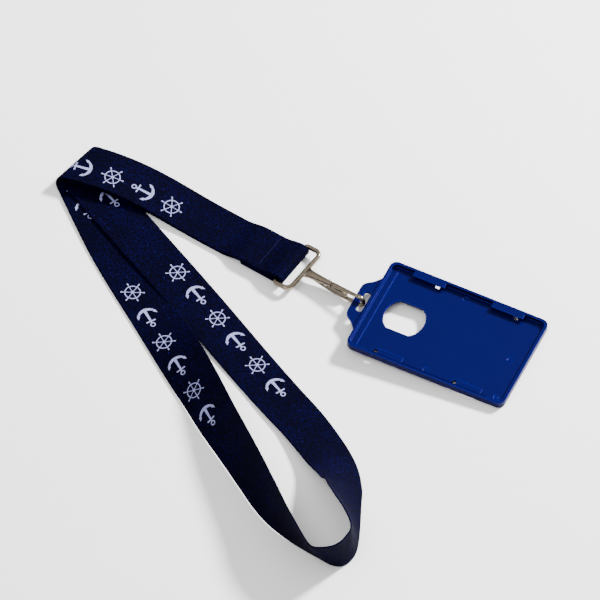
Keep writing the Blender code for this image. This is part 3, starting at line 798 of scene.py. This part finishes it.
def make_holder(material):
    half = HOLDER_WIDTH / 2
    body = box_outline(0.0, HOLDER_LENGTH, -half, half, HOLDER_CORNER)
    tray = Carved("card_tray", outline_solid("body", body, 0.0, HOLDER_HEIGHT))
    inner = half - HOLDER_RIM
    recess = box_outline(HOLDER_RIM, HOLDER_LENGTH - HOLDER_RIM, -inner, inner, 3.0)
    tray.change(outline_solid("recess", recess, HOLDER_FLOOR, HOLDER_HEIGHT + 1), "DIFFERENCE")
    tray.change(outline_solid("flange", flange_outline(), 0.0, FLANGE_THICK), "UNION")
    for centre in LIP_CENTRES:
        for sign in (1, -1):
            add_lip(tray, centre, sign, inner)
    place, across, width = HANG_SLOT
    slot = box_outline(place - width / 2, place + width / 2, -across / 2, across / 2, width / 2 - 0.05)
    tray.change(outline_solid("hang_slot", slot, -1.0, HOLDER_HEIGHT + 1), "DIFFERENCE")
    tray.change(outline_solid("thumb_hole", thumb_hole_outline(), -1.0, HOLDER_HEIGHT + 1), "DIFFERENCE")
    add_moulding_marks(tray, inner)
    item = tray.settle()
    item.data.transform(holder_matrix())
    item.data.materials.clear()
    item.data.materials.append(material)
    round_edges(item, PLASTIC_BEVEL, 40.0).use_clamp_overlap = False
    item.data.shade_smooth()
    item.data.set_sharp_from_angle(angle=math.radians(30.0))
    keep_shape(item)
    mark_edge_highlight(item.data, holder_matrix().to_3x3() @ Vector((0, 0, 1)))
    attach(item, "holder")
    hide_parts("card_holder")


# ---------------------------------------------------------------- hook

def ring_frames(points, closed):
    """Place, side and up at each point of a path, turned as little as possible."""
    path = [Vector(p) for p in points]
    count = len(path)
    frames = []
    up = None
    for i, here in enumerate(path):
        after = path[(i + 1) % count] if closed or i < count - 1 else here
        before = path[i - 1] if closed or i > 0 else here
        ahead = (after - before).normalized()
        if up is None:
            guess = Vector((0, 0, 1)) if abs(ahead.z) < 0.9 else Vector((1, 0, 0))
            up = (guess - ahead * guess.dot(ahead)).normalized()
        else:
            up = (up - ahead * up.dot(ahead)).normalized()
        frames.append((here, ahead.cross(up), up))
    return frames


def tube(name, points, widths, heights=None, sides=24, closed=False, power=2.0):
    """A tube of round or squarish section; widths and heights are full sizes along the path."""
    count = len(points)
    widths = [widths] * count if isinstance(widths, (int, float)) else widths
    heights = widths if heights is None else heights
    heights = [heights] * count if isinstance(heights, (int, float)) else heights
    places = []
    for (here, side, up), width, height in zip(ring_frames(points, closed), widths, heights):
        for k in range(sides):
            angle = 2 * math.pi * (k + 0.5) / sides
            c, s = math.cos(angle), math.sin(angle)
            a = math.copysign(abs(c) ** (2 / power), c) * width / 2
            b = math.copysign(abs(s) ** (2 / power), s) * height / 2
            places.append(tuple(MM * v for v in here + side * a + up * b))
    faces = []
    for i in range(count if closed else count - 1):
        for k in range(sides):
            n = (i + 1) % count
            m = (k + 1) % sides
            faces.append((i * sides + k, i * sides + m, n * sides + m, n * sides + k))
    if not closed:
        faces.append(tuple(range(sides)))
        faces.append(tuple(range((count - 1) * sides, count * sides)))
    mesh = bpy.data.meshes.new(name)
    mesh.from_pydata(places, [], faces)
    outward(mesh)
    return mesh


def hook_matrix():
    place = Matrix.Translation((BAR_POINT - MIDDLE) * MM)
    turn = Matrix.Rotation(math.radians(HOOK_AZIMUTH), 4, "Z")
    return place @ turn @ Matrix.Rotation(math.radians(-HOOK_PITCH), 4, "Y")


def eye_path():
    half = EYE_INNER_HALF + BAR_RADIUS
    path = []
    corners = ((EYE_DEPTH, half, EYE_FRONT_CORNER, 0), (0.0, half, EYE_BACK_CORNER, 90),
               (0.0, -half, EYE_BACK_CORNER, 180), (EYE_DEPTH, -half, EYE_FRONT_CORNER, 270))
    for x, y, radius, begin in corners:
        centre_x = x - math.copysign(radius, x - EYE_DEPTH / 2)
        centre_y = y - math.copysign(radius, y)
        for k in range(11):
            angle = math.radians(begin + 9.0 * k)
            path.append((centre_x + radius * math.cos(angle), centre_y + radius * math.sin(angle), 0.0))
    return path


def side_solid(name, outline, half):
    """A plate standing along the hook, from its outline seen from the side."""
    mesh = outline_solid(name, outline, -half, half)
    mesh.transform(Matrix.Rotation(math.radians(90.0), 4, "X"))
    return mesh


def pivot_hole():
    x, z = GATE_PIVOT
    return tube("pin_hole", [(x, -3.0, z), (x, 3.0, z)], 2 * PIN_RADIUS + 0.6)


def finish_metal(item, node, body, material):
    item.data.transform(hook_matrix())
    item.data.materials.clear()
    item.data.materials.append(material)
    item.data.shade_smooth()
    item.data.set_sharp_from_angle(angle=math.radians(40.0))
    round_edges(item, METAL_BEVEL, 50.0)
    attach(item, body)
    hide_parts(node)


def make_hook(material):
    hook = Carved("hook_casting", tube("eye", eye_path(), 2.4, 2.6, 24, True, 2.6))
    neck = spline([(EYE_DEPTH - 0.6, 0, 0, 9.0, 2.2), (EYE_DEPTH + 1.2, 0, 0, 7.0, 2.6),
                   (12.5, 0, 0.05, 5.2, 3.6), (19.0, 0, 0.2, 4.1, 3.3), (NECK_END, 0, 0.35, 3.2, 3.0)], 20)
    hook.change(tube("neck", neck[:, :3], list(neck[:, 3]), list(neck[:, 4])), "UNION")
    route = spline(ARM_ROUTE, 44)
    sizes = [2.3 + 0.5 * (1 - smooth_step(i, 0, 20)) for i in range(len(route))]
    hook.change(tube("arm", [tuple(p) for p in route], sizes), "UNION")
    hook.change(side_solid("web", WEB_OUTLINE, WEB_HALF), "UNION")
    fork = box_outline(FORK_START, NECK_END + 1, -SLOT_HALF, SLOT_HALF)
    hook.change(outline_solid("fork", fork, FORK_LOW, FORK_HIGH), "DIFFERENCE")
    hook.change(tube("bore", [(14.8, 0, 0.15), (21.2, 0, 0.15)], 1.9), "DIFFERENCE")
    hook.change(pivot_hole(), "DIFFERENCE")
    finish_metal(hook.settle(), "hook_body", "hook", material)


def make_gate(material):
    bar = spline([(NECK_END + 0.35, 0, 0.95, 2.6, 1.6), (NECK_END + 0.8, 0, 0.97, 2.8, 1.8),
                  (34.0, 0, 1.25, 2.35, 1.55), (41.8, 0, 1.62, 1.9, 1.25), (42.8, 0, 1.66, 1.5, 1.0)], 24)
    bar_mesh = tube("gate_bar", bar[:, :3], list(bar[:, 3]), list(bar[:, 4]), 24, False, 2.4)
    gate = Carved("gate_bar", bar_mesh)
    gate.change(side_solid("lug", LUG_OUTLINE, LUG_HALF), "UNION")
    gate.change(pivot_hole(), "DIFFERENCE")
    finish_metal(gate.settle(), "gate", "gate", material)


# ---------------------------------------------------------------- metal and threads from the CAD

def dress_node(name, material):
    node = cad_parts[name]
    node.data.materials.clear()
    node.data.materials.append(material)


# ---------------------------------------------------------------- stage

def make_floor(material):
    mesh = bpy.data.meshes.new("floor")
    reach = 6.0
    mesh.from_pydata([(-reach, -reach, 0), (reach, -reach, 0), (reach, reach, 0), (-reach, reach, 0)],
                     [], [(0, 1, 2, 3)])
    mesh.materials.append(material)
    floor = bpy.data.objects.new("floor", mesh)
    floor.location.z = -0.0001
    bpy.context.scene.collection.objects.link(floor)


def area_light(name, place, size, power):
    data = bpy.data.lights.new(name, "AREA")
    data.shape = "DISK"
    data.size = size
    data.energy = power
    light = bpy.data.objects.new(name, data)
    light.location = place
    light.rotation_mode = "QUATERNION"
    light.rotation_quaternion = (-Vector(place)).to_track_quat("-Z", "Y")
    bpy.context.scene.collection.objects.link(light)


def make_world():
    """Soft studio: bright overhead, darker towards the horizon so that metal has something to show."""
    world = bpy.data.worlds.new("studio")
    world.use_nodes = True
    tree = world.node_tree
    background = tree.nodes["Background"]
    place = tree.nodes.new("ShaderNodeTexCoord")
    split = tree.nodes.new("ShaderNodeSeparateXYZ")
    ramp = tree.nodes.new("ShaderNodeValToRGB")
    ramp.color_ramp.elements[0].position = 0.15
    ramp.color_ramp.elements[0].color = (0.05, 0.05, 0.05, 1.0)
    ramp.color_ramp.elements[1].position = 0.9
    ramp.color_ramp.elements[1].color = (1.0, 1.0, 1.0, 1.0)
    tree.links.new(place.outputs["Generated"], split.inputs[0])
    tree.links.new(split.outputs[2], ramp.inputs[0])
    tree.links.new(ramp.outputs[0], background.inputs["Color"])
    background.inputs["Strength"].default_value = 1.3
    bpy.context.scene.world = world


def make_camera():
    data = bpy.data.cameras.new("camera")
    data.sensor_width = 36.0
    data.lens = 36.0 * CAMERA_DISTANCE / FIELD_WIDTH
    data.clip_end = 100.0
    camera = bpy.data.objects.new("camera", data)
    angle = math.radians(CAMERA_ELEVATION)
    back = Vector((0.0, -math.cos(angle), math.sin(angle)))
    target = -MIDDLE * MM
    camera.location = target + back * CAMERA_DISTANCE
    camera.rotation_mode = "QUATERNION"
    camera.rotation_quaternion = (-back).to_track_quat("-Z", "Y")
    bpy.context.scene.collection.objects.link(camera)
    bpy.context.scene.camera = camera


make_camera()
make_world()
make_floor(floor_material())
area_light("key", (1.15, 0.85, 0.95), 0.3, 130.0)
area_light("fill", (-0.7, -0.6, 1.6), 1.0, 14.0)

ribbon = Ribbon()
cloth = make_ribbon(ribbon, ribbon_material())
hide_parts("ribbon")
make_prints(ribbon, print_material())
make_holder(plastic_material())
thread = thread_material()
for name in ("needle_thread", "bobbin_thread"):
    dress_node(name, thread)
nickel = metal_material("nickel_plate", (0.21, 0.175, 0.13), (0.065, 0.05, 0.036), 0.13, 0.0003)
make_hook(nickel)
make_gate(nickel)
steel = metal_material("plain_steel", (0.5, 0.5, 0.51), (0.3, 0.3, 0.31), 0.3, 0.0001)
for name in ("gate_pin", "gate_spring"):
    dress_node(name, steel)
